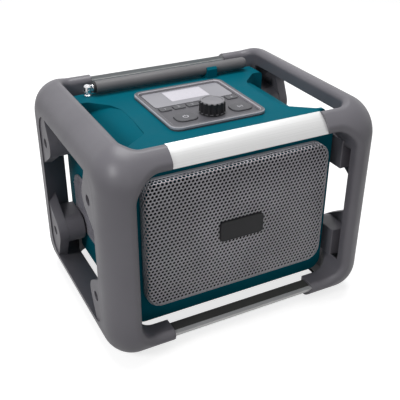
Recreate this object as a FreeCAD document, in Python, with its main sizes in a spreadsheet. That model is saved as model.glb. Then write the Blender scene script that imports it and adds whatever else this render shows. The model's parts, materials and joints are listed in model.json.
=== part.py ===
import FreeCAD, Part
import os
import re
from itertools import product
from math import atan2, pi, sqrt

import Sketcher
from FreeCAD import Placement, Rotation, Vector

# A jobsite radio in a roll cage. Millimetres, +Z up, the front faces -Y, the feet stand on Z = 0.

DOC = FreeCAD.newDocument("jobsite_radio")

SIZES = (
    ("cage_width", 360, "outside width of the roll cage"),
    ("cage_depth", 292, "outside depth of the roll cage"),
    ("cage_base", 1.5, "height of the cage's lowest line above the floor"),
    ("cage_top", 280.5, "height of the cage's top"),
    ("cage_round", 46, "corner radius of the cage seen from the side"),
    ("cage_edge", 36, "radius of the cage's outer edges"),
    ("stub_inner", 100, "half the span between the stubs of the side frames"),
    ("ring_inner", 143.5, "distance of the frames' inner faces from the middle"),
    ("ring_round", 8, "radius of the edges between the frames' inner faces and their outsides"),
    ("window_deep", 113, "half depth of the top and bottom windows"),
    ("window_high", 108.5, "half height of the front and rear windows"),
    ("side_deep", 99, "half depth of the side window at the outer face"),
    ("side_high", 103, "half height of the side window at the outer face"),
    ("side_round", 24, "corner radius of the side window at the outer face"),
    ("flare_deep", 130, "half depth of the side window at the inner face"),
    ("flare_high", 117.5, "half height of the side window at the inner face"),
    ("flare_round", 40, "corner radius of the side window at the inner face"),
    ("mid_height", 141, "height of the cage's middle"),
    ("corner_top", 30, "upper corner radius of the front window"),
    ("corner_low", 25, "lower corner radius of the front window"),
    ("corner_plan", 16, "corner radius of the top window"),
    ("lug_depth", 82, "distance of the lug holes from the middle, front to back"),
    ("lug_height", 66, "distance of the lug holes from the middle height"),
    ("lug_round", 20, "radius of a lug's nose"),
    ("lug_low_turn", 57, "slope of a lug's edge on the post side, degrees"),
    ("lug_high_turn", 25, "slope of a lug's edge on the rail side, degrees"),
    ("lug_reach", 112, "how far a lug's plate runs into the frame, from the middle"),
    ("lug_corner", 24, "radius of the lug plate's buried corner"),
    ("lug_face", 178.5, "distance of the lugs' outer faces from the middle"),
    ("lug_back", 166, "distance of the lugs' inner faces from the middle"),
    ("boss_round", 12, "radius of the spacer bosses behind the lugs"),
    ("boss_face", 137, "distance of the boss faces from the middle"),
    ("screw_seat", 160, "distance of the screw heads' seats from the middle"),
    ("screw_end", 124, "distance of the frame screws' tips from the middle"),
    ("screw_round", 2.4, "radius of the frame screws"),
    ("head_round", 5.5, "radius of the frame screws' heads"),
    ("head_high", 4, "height of the frame screws' heads"),
    ("head_play", 1, "gap round the frame screws' heads"),
    ("bore_play", 0.35, "gap round the frame screws in their bores"),
    ("seat_play", 0.2, "gap round the cage's bosses in their seats"),
    ("bar_inset", 3.6, "step from the stubs down to the cross bars"),
    ("bar_bare", 15, "width of the bar's flats that the aluminium leaves bare"),
    ("skin_thick", 1.6, "thickness of the aluminium covers"),
    ("tenon", 24, "length of the bars' ends inside the stubs"),
    ("body_half", 138, "half width of the main housing"),
    ("bezel_half", 140, "half width of the front bezel"),
    ("body_base", 26, "height of the housing's underside"),
    ("body_top", 257, "height of the housing's flat top"),
    ("bezel_front", 100, "distance of the bezel's face in front of the middle"),
    ("bezel_back", 80, "distance of the bezel's rear edge in front of the middle"),
    ("bezel_round", 18, "corner radius of the bezel"),
    ("body_split", 74, "position of the joint between the main and the rear housing"),
    ("deck_base", 222, "height of the joint between the main and the top housing"),
    ("body_back", 105, "distance of the housing's upper rear wall from the middle"),
    ("bulge_back", 135, "distance of the battery bulge's rear wall from the middle"),
    ("wall", 3, "wall thickness of the housing and the bezel"),
    ("room_half", 134, "half width of the room inside the housing"),
    ("room_back", 92, "position of the rear end of the room inside the housing"),
    ("recess_front", -62, "front end of the side grilles' recess"),
    ("recess_rear", 66, "rear end of the side grilles' recess"),
    ("recess_base", 64, "height of the recess's lower edge"),
    ("recess_top", 146, "height of the recess's upper edge"),
    ("plate_thick", 1.5, "thickness of the side grilles"),
    ("plate_play", 0.3, "gap round the side grilles and their cloth"),
    ("scoop_start", 91, "distance from the middle where the finger scoops begin"),
    ("scoop_drop", 32, "fall of the finger scoops at their outer edge"),
    ("scoop_width", 50, "width over which the finger scoops fall"),
    ("scoop_round", 110, "radius of the finger scoops' falling surface"),
    ("grille_half", 125, "half width of the speaker grille"),
    ("grille_base", 56, "height of the grille's lower edge"),
    ("grille_top", 227, "height of the grille's upper edge"),
    ("grille_front", 115, "distance of the grille's face in front of the middle"),
    ("grille_round", 20, "corner radius of the grille"),
    ("grille_sheet", 2, "sheet thickness of the grille"),
    ("post_across", 114, "distance of the bezel screws from the middle"),
    ("post_low", 67, "height of the lower bezel screws"),
    ("post_high", 216, "height of the upper bezel screws"),
    ("badge_half", 30, "half width of the badge plate"),
    ("badge_high", 13.5, "half height of the badge plate"),
    ("speaker_gap", 64, "distance of each speaker's centre from the middle"),
    ("speaker_height", 141.5, "height of the speakers' centres"),
    ("speaker_round", 58, "radius of the speakers' frames"),
    ("panel_half", 64, "half width of the control panel"),
    ("panel_mid", 1, "position of the panel's middle, front to back"),
    ("panel_top", 262, "height of the panel's rim"),
    ("panel_floor", 259, "height of the panel's sunk floor"),
    ("rim_width", 5.5, "width of the panel's rim"),
    ("well_play", 0.4, "gap round the panel's part that sinks into the housing"),
    ("panel_skirt", 60, "half width of the panel's part that sinks into the housing"),
    ("button_pitch", 18.6, "distance between the small buttons"),
    ("button_play", 0.35, "gap around each button"),
    ("knob_across", 3, "position of the tuning knob, left to right"),
    ("knob_along", -31.5, "position of the tuning knob, front to back"),
    ("knob_round", 16.5, "radius of the tuning knob"),
    ("flute_round", 2.5, "radius of the grip hollows round the knob"),
    ("board_top", 239.6, "height of the main board's upper face"),
    ("aerial_across", -114, "position of the aerial's pivot, left to right"),
    ("aerial_along", 91, "position of the aerial, front to back"),
    ("aerial_height", 267.5, "height of the aerial's pivot"),
    ("aerial_round", 7.8, "radius of the aerial rod"),
    ("aerial_start", 10.5, "distance of the aerial rod's near end from its pivot"),
    ("turret_round", 5, "radius of the aerial's turret"),
    ("tongue_half", 1.6, "half thickness of the knuckle's tongue"),
    ("fork_play", 0.3, "gap between the knuckle's tongue and each cheek of the fork"),
    ("aerial_pin_round", 1.2, "radius of the aerial's pin"),
    ("cradle_play", 0.35, "gap round the lowered aerial rod in its cradle"),
    ("aerial_end", 121.5, "position of the aerial rod's tip"),
    ("door_half", 73.5, "half width of the battery door"),
    ("door_base", 56.5, "height of the battery door's hinge line"),
    ("door_top", 207.5, "height of the battery door's upper edge"),
    ("door_play", 0.5, "gap round the battery door and the port flap"),
    ("hinge_play", 0.3, "gap between a hinge pin and the piece that turns on it"),
    ("door_pin_round", 1.5, "radius of the battery door's hinge pin"),
    ("door_pin_hold", 4, "length of the door pin's ends inside the housing"),
    ("door_hinge", 131.8, "distance of the door's hinge line from the middle"),
    ("flap_left", 88, "position of the port flap's inner edge"),
    ("flap_right", 124, "position of the port flap's outer edge"),
    ("flap_base", 96, "height of the port flap's lower edge"),
    ("flap_top", 128, "height of the port flap's upper edge"),
)
ALIASES = {alias for alias, size, note in SIZES}


def make_sheet():
    sheet = DOC.addObject("Spreadsheet::Sheet", "Dim")
    for row, (alias, size, note) in enumerate(SIZES, start=1):
        sheet.set("A%d" % row, alias)
        sheet.set("B%d" % row, str(size))
        sheet.setAlias("B%d" % row, alias)
        sheet.set("C%d" % row, note)
    DOC.recompute()
    return sheet


SHEET = make_sheet()
NODES = {}

# Places worked out from the sizes above, written as rules that the sheet evaluates.
CAGE_MID = "((cage_top + cage_base) / 2)"
ARC_DEPTH = "(cage_depth / 2 - cage_round)"
ARC_HEIGHT = "((cage_top - cage_base) / 2 - cage_round)"
FLAT_DEPTH = "(window_deep + bar_inset)"
FLAT_HEIGHT = "(window_high + bar_inset)"
LIP_DEPTH = "(window_deep + bar_inset + bar_bare)"
LIP_HEIGHT = "(window_high + bar_inset + bar_bare)"
SEAT_DEPTH = "(window_deep + bar_inset + skin_thick)"
SEAT_HEIGHT = "(window_high + bar_inset + skin_thick)"
COVER_ROUND = "(cage_round - bar_inset)"
CORE_ROUND = "(cage_round - bar_inset - skin_thick)"
HIDDEN_BACK = "(bezel_front - wall)"


def rule(text):
    """Puts the sheet's name in front of every size named in a rule."""
    return re.sub(r"[a-z][a-z_]*", lambda m: "Dim." + m.group(0) if m.group(0) in ALIASES else m.group(0),
                  str(text))


def value(text):
    return float(SHEET.evalExpression(rule(text)))


def signed(text, side):
    return "(%s)" % text if side > 0 else "(-(%s))" % text


def mirrored(points, side_u, side_v, middle_v="0"):
    """Mirrors an outline; middle_v is added to the second coordinate after mirroring."""
    out = []
    for point in points:
        u = signed(point[0], side_u)
        v = "(%s + %s)" % (middle_v, signed(point[1], side_v))
        out.append((u, v) if len(point) == 2 else (u, v, point[2], point[3] * side_u * side_v))
    return out


def rounded(left, right, low, high, radius):
    """A rectangle with round corners; an arc entry holds its radius and its turning sense."""
    inner_left = "(%s) + (%s)" % (left, radius)
    inner_right = "(%s) - (%s)" % (right, radius)
    inner_low = "(%s) + (%s)" % (low, radius)
    inner_high = "(%s) - (%s)" % (high, radius)
    return [
        (inner_left, low), (inner_right, low, radius, 1), (right, inner_low), (right, inner_high, radius, 1),
        (inner_right, high), (inner_left, high, radius, 1), (left, inner_high), (left, inner_low, radius, 1),
    ]


def box_loop(left, right, low, high):
    return [(left, low), (right, low), (right, high), (left, high)]


def circle(across, along, radius):
    return ("circle", across, along, radius)


def arc_between(start, end, radius, turn):
    """A circular arc shorter than half a turn; turn is 1 for anticlockwise and -1 for clockwise."""
    middle = (start + end) * 0.5
    chord = end - start
    half = chord.Length / 2
    lift = sqrt(max(radius ** 2 - half ** 2, 0))
    normal = Vector(-chord.y, chord.x, 0).normalize()
    centre = middle + normal * (lift * turn)
    first, last = (start, end) if turn > 0 else (end, start)
    angle_first = atan2(first.y - centre.y, first.x - centre.x)
    angle_last = atan2(last.y - centre.y, last.x - centre.x)
    if angle_last < angle_first:
        angle_last += 2 * pi
    return Part.ArcOfCircle(Part.Circle(centre, Vector(0, 0, 1), radius), angle_first, angle_last)


def hold(sketch, kind, *args):
    """Adds a constraint whose last argument is a rule and binds it to the sheet."""
    number = sketch.addConstraint(Sketcher.Constraint(kind, *args[:-1], value(args[-1])))
    sketch.setExpression("Constraints[%d]" % number, rule(args[-1]))


def add_circle(sketch, across, along, radius):
    centre = Vector(value(across), value(along), 0)
    item = sketch.addGeometry(Part.Circle(centre, Vector(0, 0, 1), value(radius)), False)
    hold(sketch, "DistanceX", -1, 1, item, 3, across)
    hold(sketch, "DistanceY", -1, 1, item, 3, along)
    hold(sketch, "Radius", item, radius)


def add_loop(sketch, points):
    spots = [Vector(value(point[0]), value(point[1]), 0) for point in points]
    items = []
    for number, point in enumerate(points):
        start, end = spots[number], spots[(number + 1) % len(points)]
        if len(point) == 2:
            item = sketch.addGeometry(Part.LineSegment(start, end), False)
            items.append((item, 1, 2))
        else:
            item = sketch.addGeometry(arc_between(start, end, value(point[2]), point[3]), False)
            items.append((item, 1, 2) if point[3] > 0 else (item, 2, 1))
    for number, point in enumerate(points):
        item, first, last = items[number]
        following = items[(number + 1) % len(points)]
        sketch.addConstraint(Sketcher.Constraint("Coincident", item, last, following[0], following[1]))
        hold(sketch, "DistanceX", -1, 1, item, first, point[0])
        hold(sketch, "DistanceY", -1, 1, item, first, point[1])
        if len(point) == 4:
            hold(sketch, "Radius", item, point[2])


def draw(body, plane, level, loops):
    """Draws loops on one of the body's own planes, shifted to a level along the plane's normal."""
    sketch = body.newObject("Sketcher::SketchObject", body.Name + "_sketch")
    support = [item for item in body.Origin.OriginFeatures if item.Role == plane + "_Plane"][0]
    sketch.AttachmentSupport = [(support, "")]
    sketch.MapMode = "FlatFace"
    sense = "-1" if plane == "XZ" else "1"
    sketch.setExpression("AttachmentOffset.Base.z", rule("%s * (%s)" % (sense, level)))
    for loop in loops:
        if loop[0] == "circle":
            add_circle(sketch, *loop[1:])
        else:
            add_loop(sketch, loop)
    DOC.recompute()
    return sketch


def slab(body, plane, near, far, *loops, cut=False):
    """Adds (or cuts) the loops' prism between two levels along the plane's normal."""
    sketch = draw(body, plane, near, loops)
    before = 0 if body.Tip is None else body.Tip.Shape.Volume
    feature = body.newObject("PartDesign::Pocket" if cut else "PartDesign::Pad",
                             body.Name + ("_cut" if cut else "_pad"))
    feature.Profile = sketch
    feature.setExpression("Length", rule("abs((%s) - (%s))" % (far, near)))
    forward = (value(far) > value(near)) != (plane == "XZ")
    feature.Reversed = forward if cut else not forward
    DOC.recompute()
    if cut and not feature.Shape.Volume < before - 1e-3:
        raise RuntimeError("%s cuts nothing" % feature.Name)
    return feature


def spin(body, plane, loop, cut=False):
    """Turns a loop about the body's own upright axis."""
    sketch = draw(body, plane, "0", [loop])
    feature = body.newObject("PartDesign::Groove" if cut else "PartDesign::Revolution",
                             body.Name + "_turned")
    feature.Profile = sketch
    feature.ReferenceAxis = (sketch, ["V_Axis"])
    feature.Angle = 360
    DOC.recompute()
    return feature


def dress_edges(body, kind, size_name, size, wanted):
    """Works every edge of the body's present shape that the test accepts."""
    base = body.Tip
    names = []
    for number, edge in enumerate(base.Shape.Edges, start=1):
        if wanted(edge):
            names.append("Edge%d" % number)
    if not names:
        raise RuntimeError("%s has no edge to work" % body.Name)
    feature = body.newObject("PartDesign::" + kind, body.Name + "_edges")
    feature.Base = (base, names)
    feature.setExpression(size_name, rule(size))
    DOC.recompute()
    return feature


def round_edges(body, radius, wanted):
    return dress_edges(body, "Fillet", "Radius", radius, wanted)


def bevel_edges(body, size, wanted):
    return dress_edges(body, "Chamfer", "Size", size, wanted)


def taper_cut(body, plane, near, near_loop, far, far_loop):
    """Cuts the straight-sided hollow that joins one outline to another like it."""
    near_sketch = draw(body, plane, near, [near_loop])
    far_sketch = draw(body, plane, far, [far_loop])
    feature = body.newObject("PartDesign::SubtractiveLoft", body.Name + "_taper")
    feature.Profile = near_sketch
    feature.Sections = [far_sketch]
    feature.Ruled = True
    DOC.recompute()
    return feature


def new_body(name):
    body = DOC.addObject("PartDesign::Body", name)
    body.Label = name
    return body


def place(item, across="0", along="0", height="0"):
    item.setExpression("Placement.Base.x", rule(across))
    item.setExpression("Placement.Base.y", rule(along))
    item.setExpression("Placement.Base.z", rule(height))
    return item


def keep(name, item):
    item.Label = name
    NODES[name] = item
    return item


def middle(edge):
    box = edge.BoundBox
    return Vector((box.XMin + box.XMax) / 2, (box.YMin + box.YMax) / 2, (box.ZMin + box.ZMax) / 2)


def along_axis(edge, axis):
    """True for a straight edge that runs along one coordinate axis."""
    box = edge.BoundBox
    spans = {"x": box.XLength, "y": box.YLength, "z": box.ZLength}
    return spans[axis] > 0.1 and all(spans[other] < 1e-4 for other in spans if other != axis)


def flat_at(edge, axis, level):
    """True for an edge lying in the plane axis = level."""
    box = edge.BoundBox
    low, high = {"x": (box.XMin, box.XMax), "y": (box.YMin, box.YMax), "z": (box.ZMin, box.ZMax)}[axis]
    return abs(low - level) < 1e-3 and abs(high - level) < 1e-3


def rod(name, radius, length, across, along, height, direction):
    """A plain cylinder from a point along a direction."""
    item = DOC.addObject("Part::Cylinder", name)
    item.setExpression("Radius", rule(radius))
    item.setExpression("Height", rule(length))
    item.Placement = Placement(Vector(), Rotation(Vector(0, 0, 1), Vector(*direction)))
    return place(item, across, along, height)


def hex_rod(name, radius, length, across, along, height, direction):
    item = DOC.addObject("Part::Prism", name)
    item.Polygon = 6
    item.setExpression("Circumradius", rule(radius))
    item.setExpression("Height", rule(length))
    item.Placement = Placement(Vector(), Rotation(Vector(0, 0, 1), Vector(*direction)))
    return place(item, across, along, height)


def block(name, size_x, size_y, size_z, across, along, height):
    """A box given by its sizes and its corner nearest the left, front and floor."""
    item = DOC.addObject("Part::Box", name)
    item.setExpression("Length", rule(size_x))
    item.setExpression("Width", rule(size_y))
    item.setExpression("Height", rule(size_z))
    return place(item, across, along, height)


def fused(name, items):
    joined = DOC.addObject("Part::MultiFuse", name)
    joined.Shapes = items
    return joined


def grouped(name, items):
    group = DOC.addObject("Part::Compound", name)
    group.Links = items
    return keep(name, group)


# Roll cage

def lug_points():
    """One lug plate: the edge to the post, the nose, the edge to the rail and the buried corner."""
    low = "lug_low_turn"
    high = "lug_high_turn"
    low_in = "(lug_depth - lug_round * cos(%s))" % low
    high_in = "(lug_depth - lug_round * cos(%s))" % high
    post_meet = "lug_height - lug_round * sin(%s) - (lug_reach - %s) / tan(%s)" % (low, low_in, low)
    rail_meet = "%s + (lug_reach - lug_height - lug_round * sin(%s)) * tan(%s)" % (high_in, high, high)
    return [
        ("lug_reach", post_meet),
        (low_in, "lug_height - lug_round * sin(%s)" % low, "lug_round", -1),
        (high_in, "lug_height + lug_round * sin(%s)" % high),
        (rail_meet, "lug_reach"),
        ("lug_reach - lug_corner", "lug_reach", "lug_corner", -1),
        ("lug_reach", "lug_reach - lug_corner"),
    ]


def lug_plates():
    return [mirrored(lug_points(), side_y, side_z, "mid_height") for side_y in (-1, 1) for side_z in (-1, 1)]


def side_opening(half_depth, half_height, radius):
    return rounded("-" + half_depth, half_depth, "mid_height - " + half_height, "mid_height + " + half_height,
                   radius)


def arc_depth_at(radius, height):
    """Depth of the bar's round skin at a height; both count from the cage's middle."""
    return "%s + sqrt(%s ^ 2 - (%s - %s) ^ 2)" % (ARC_DEPTH, radius, height, ARC_HEIGHT)


def arc_height_at(radius, depth):
    return "%s + sqrt(%s ^ 2 - (%s - %s) ^ 2)" % (ARC_HEIGHT, radius, depth, ARC_DEPTH)


def core_section(side_y, side_z):
    """Quarter-round core: two bare flats towards the radio, and a seat for the cover's lips and skin."""
    points = [
        (FLAT_DEPTH, FLAT_HEIGHT), (LIP_DEPTH, FLAT_HEIGHT), (LIP_DEPTH, SEAT_HEIGHT),
        (arc_depth_at(CORE_ROUND, SEAT_HEIGHT), SEAT_HEIGHT, CORE_ROUND, 1),
        (SEAT_DEPTH, arc_height_at(CORE_ROUND, SEAT_DEPTH)),
        (SEAT_DEPTH, LIP_HEIGHT), (FLAT_DEPTH, LIP_HEIGHT),
    ]
    return mirrored(points, side_y, side_z, CAGE_MID)


def cover_section(side_y, side_z):
    """Aluminium skin round the corner, with a lip on each of the two flats."""
    points = [
        (LIP_DEPTH, FLAT_HEIGHT), (arc_depth_at(COVER_ROUND, FLAT_HEIGHT), FLAT_HEIGHT, COVER_ROUND, 1),
        (FLAT_DEPTH, arc_height_at(COVER_ROUND, FLAT_DEPTH)),
        (FLAT_DEPTH, LIP_HEIGHT), (SEAT_DEPTH, LIP_HEIGHT),
        (SEAT_DEPTH, arc_height_at(CORE_ROUND, SEAT_DEPTH), CORE_ROUND, -1),
        (arc_depth_at(CORE_ROUND, SEAT_HEIGHT), SEAT_HEIGHT), (LIP_DEPTH, SEAT_HEIGHT),
    ]
    return mirrored(points, side_y, side_z, CAGE_MID)


def lug_circles(radius, sides_y=(-1, 1)):
    return [circle(signed("lug_depth", side_y), "mid_height + %s" % signed("lug_height", side_z), radius)
            for side_y in sides_y for side_z in (-1, 1)]


def on_inner_rim(edge, side):
    """True for the four straight edges between a frame's inner face and its outside."""
    spot = middle(edge)
    if abs(spot.x - value("ring_inner") * side) > 1e-3:
        return False
    on_top = min(abs(spot.z - value("cage_top")), abs(spot.z - value("cage_base"))) < 1e-3
    on_front = abs(abs(spot.y) - value("cage_depth / 2")) < 1e-3
    return (along_axis(edge, "y") and on_top) or (along_axis(edge, "z") and on_front)


def side_frame(name, side):
    """One moulded side of the cage: a flared ring with corner stubs, lug plates and spacer bosses."""
    body = new_body(name)
    outline = rounded("-cage_depth / 2", "cage_depth / 2", "cage_base", "cage_top", "cage_round")
    outer = value("cage_width / 2") * side
    slab(body, "YZ", signed("stub_inner", side), signed("cage_width / 2", side), outline)
    round_edges(body, "cage_edge", lambda edge: flat_at(edge, "x", outer))
    past = "cage_width / 2 + 1"
    taper_cut(body, "YZ", signed("ring_inner", side), side_opening("flare_deep", "flare_high", "flare_round"),
              signed(past, side), side_opening("side_deep", "side_high", "side_round"))
    low = "mid_height - window_high"
    high = "mid_height + window_high"
    front = [
        ("stub_inner - 1", low), ("ring_inner - corner_low", low, "corner_low", 1),
        ("ring_inner", "%s + corner_low" % low), ("ring_inner", "%s - corner_top" % high, "corner_top", 1),
        ("ring_inner - corner_top", high), ("stub_inner - 1", high),
    ]
    slab(body, "XZ", "-cage_depth / 2 - 1", "cage_depth / 2 + 1", mirrored(front, side, 1), cut=True)
    plan = [
        ("stub_inner - 1", "-window_deep"), ("ring_inner - corner_plan", "-window_deep", "corner_plan", 1),
        ("ring_inner", "-window_deep + corner_plan"),
        ("ring_inner", "window_deep - corner_plan", "corner_plan", 1),
        ("ring_inner - corner_plan", "window_deep"), ("stub_inner - 1", "window_deep"),
    ]
    slab(body, "XY", "cage_base - 1", "cage_top + 1", mirrored(plan, side, 1), cut=True)
    round_edges(body, "ring_round", lambda edge: on_inner_rim(edge, side))
    slab(body, "YZ", signed("lug_back", side), signed("lug_face", side), *lug_plates())
    slab(body, "YZ", signed("lug_back + 1", side), signed("boss_face", side), *lug_circles("boss_round"))
    slab(body, "YZ", signed(past, side), signed("screw_seat", side), *lug_circles("head_round + head_play"),
         cut=True)
    slab(body, "YZ", signed("screw_seat + 1", side), signed("boss_face - 1", side),
         *lug_circles("screw_round + bore_play"), cut=True)
    sockets = [core_section(side_y, side_z) for side_y in (-1, 1) for side_z in (-1, 1)]
    slab(body, "YZ", signed("stub_inner - 1", side), signed("stub_inner + tenon", side), *sockets, cut=True)
    slab(body, "XY", "-1", "10", *foot_outlines(side), cut=True)
    return keep(name, body)


def foot_outlines(side):
    """Plan of the two foot pads under one side frame."""
    left, right = ("146", "156") if side > 0 else ("-156", "-146")
    return [rounded(left, right, low, high, "4") for low, high in (("-95", "-50"), ("50", "95"))]


def rubber_feet():
    pads = []
    for side in (-1, 1):
        for outline in foot_outlines(side):
            body = new_body("foot_pad")
            slab(body, "XY", "0", "10", outline)
            pads.append(body)
    grouped("rubber_feet", pads)


def cross_bars():
    for side_y, depth_name in ((-1, "front"), (1, "rear")):
        for side_z, height_name in ((1, "top"), (-1, "bottom")):
            name = "%s_%s" % (height_name, depth_name)
            core = new_body("bar_core_" + name)
            slab(core, "YZ", "-stub_inner - tenon", "stub_inner + tenon", core_section(side_y, side_z))
            keep("bar_core_" + name, core)
            cover = new_body("bar_cover_" + name)
            slab(cover, "YZ", "-stub_inner", "stub_inner", cover_section(side_y, side_z))
            keep("bar_cover_" + name, cover)


def frame_screws():
    """Cap screws in the lugs, each with a six-sided socket."""
    screws = []
    for side, side_y, side_z in product((-1, 1), repeat=3):
        seat = signed("screw_seat", side)
        tip = signed("screw_end", side)
        along = signed("lug_depth", side_y)
        height = "mid_height + %s" % signed("lug_height", side_z)
        outward = (side, 0, 0)
        head = rod("screw_head", "head_round", "head_high", seat, along, height, outward)
        shaft = rod("screw_shaft", "screw_round", "screw_seat - screw_end", tip, along, height, outward)
        cut = DOC.addObject("Part::Cut", "screw")
        cut.Base = fused("screw_whole", [head, shaft])
        cut.Tool = hex_rod("screw_socket", "2.3", "head_high - 1.5", signed("screw_seat + 1.5", side), along,
                           height, outward)
        screws.append(cut)
    grouped("frame_screws", screws)


# Housing and bezel

def scoop(side):
    """The hollow for the fingers: its plan outline, and a surface that falls to the side past a crease."""
    plan = new_body("scoop_plan")
    points = [("142", "-75"), ("142", "71"), ("122", "71"), ("99", "48"), ("92", "30"), ("92", "-8"),
              ("95", "-50"), ("128", "-75")]
    slab(plan, "XY", "body_top - 60", "body_top + 5", mirrored(points, side, 1))
    round_edges(plan, "8", lambda edge: edge.BoundBox.ZLength > 10 and abs(middle(edge).x) < 141)
    fall = new_body("scoop_fall")
    edge_out = "scoop_start + scoop_width"
    section = [("scoop_start", "body_top"), ("scoop_start", "body_top + 3"), (edge_out, "body_top + 3"),
               (edge_out, "body_top - scoop_drop", "scoop_round", 1)]
    slab(fall, "XZ", "-78", "73", mirrored(section, side, 1))
    shared = DOC.addObject("Part::MultiCommon", "scoop")
    shared.Shapes = [plan, fall]
    return shared


def housing_rooms(body, near, far):
    """The room inside the housing and the shallower one under its top, between two planes."""
    room = rounded("-room_half", "room_half", "body_base + 6", "226", "12")
    slab(body, "XZ", near, far, room, cut=True)
    loft = rounded("-87", "87", "220", "body_top - 6", "4")
    slab(body, "XZ", near, far, loft, cut=True)


def frame_seats(body, side_y):
    """Seats for the cage's bosses in both flanks, with a screw post behind each."""
    for side in (-1, 1):
        slab(body, "YZ", signed("bezel_half + 2", side), signed("boss_face", side),
             *lug_circles("boss_round + seat_play"), cut=True)
        slab(body, "YZ", signed("room_half + 0.5", side), signed("122", side), *lug_circles("7", (side_y,)))
        slab(body, "YZ", signed("body_half", side), signed("123", side),
             *lug_circles("screw_round", (side_y,)), cut=True)


def side_recess(side):
    return rounded("recess_front", "recess_rear", "recess_base", "recess_top", "8")


def sound_slot(grow):
    """The opening behind a side grille, grown or shrunk all round."""
    return rounded("recess_front + 4 - %s" % grow, "recess_rear - 4 + %s" % grow,
                   "recess_base + 20 - %s" % grow, "recess_top - 20 + %s" % grow, "6 + %s" % grow)


def main_housing():
    """Open sleeve between the bezel and the rear housing; its upper part is a deck of its own."""
    body = new_body("housing_body")
    sleeve = rounded("-body_half", "body_half", "body_base", "body_top", "5")
    slab(body, "XZ", "-bezel_back", "body_split", sleeve)
    tongue = rounded("-boss_face", "boss_face", "body_base + wall", "body_top - wall", "bezel_round - wall")
    slab(body, "XZ", "-bezel_back + 4", "-%s" % HIDDEN_BACK, tongue)
    housing_rooms(body, "-%s - 1" % HIDDEN_BACK, "body_split + 1")
    well = rounded("-panel_skirt - well_play", "panel_skirt + well_play",
                   "panel_mid - panel_skirt - well_play", "panel_mid + panel_skirt + well_play", "9")
    slab(body, "XY", "body_top - 10", "body_top + 1", well, cut=True)
    frame_seats(body, -1)
    for side in (-1, 1):
        past = signed("bezel_half + 2", side)
        slab(body, "YZ", past, signed("body_half - plate_thick", side), side_recess(side), cut=True)
        slab(body, "YZ", past, signed("room_half - 1", side), sound_slot("0"), cut=True)
    for side in (-1, 1):
        for height in ("post_low", "post_high"):
            ends = (signed("post_across", side), signed("room_half + 0.5", side))
            left, right = ends if side > 0 else ends[::-1]
            web = box_loop(left, right, height + " - 2.5", height + " + 2.5")
            slab(body, "XZ", "-%s" % HIDDEN_BACK, "-75", web)
            slab(body, "XZ", "-%s" % HIDDEN_BACK, "-75", circle(signed("post_across", side), height, "5"))
            slab(body, "XZ", "-%s - 1" % HIDDEN_BACK, "-80",
                 circle(signed("post_across", side), height, "1.5"), cut=True)
    above = block("above_deck", "2 * cage_width", "bezel_front + body_split + 1", "cage_top", "-cage_width",
                  "-bezel_front", "deck_base")
    trough = DOC.addObject("Part::Cut", "main_housing")
    trough.Base = body
    trough.Tool = above
    keep("main_housing", trough)
    slice_above = DOC.addObject("Part::MultiCommon", "deck_slice")
    slice_above.Shapes = [body, above]
    deck = DOC.addObject("Part::Cut", "top_housing")
    deck.Base = slice_above
    deck.Tool = fused("scoops", [scoop(-1), scoop(1)])
    keep("top_housing", deck)


def rear_profile():
    """The rear housing seen from the side, with the battery bulge."""
    return [
        ("body_split", "body_base"), ("body_back", "body_base"), ("body_back", "body_base + 17"),
        ("bulge_back", "body_base + 22"), ("bulge_back", "body_top - 43"), ("body_back", "body_top - 21"),
        ("body_back", "body_top"), ("body_split", "body_top"),
    ]


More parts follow.
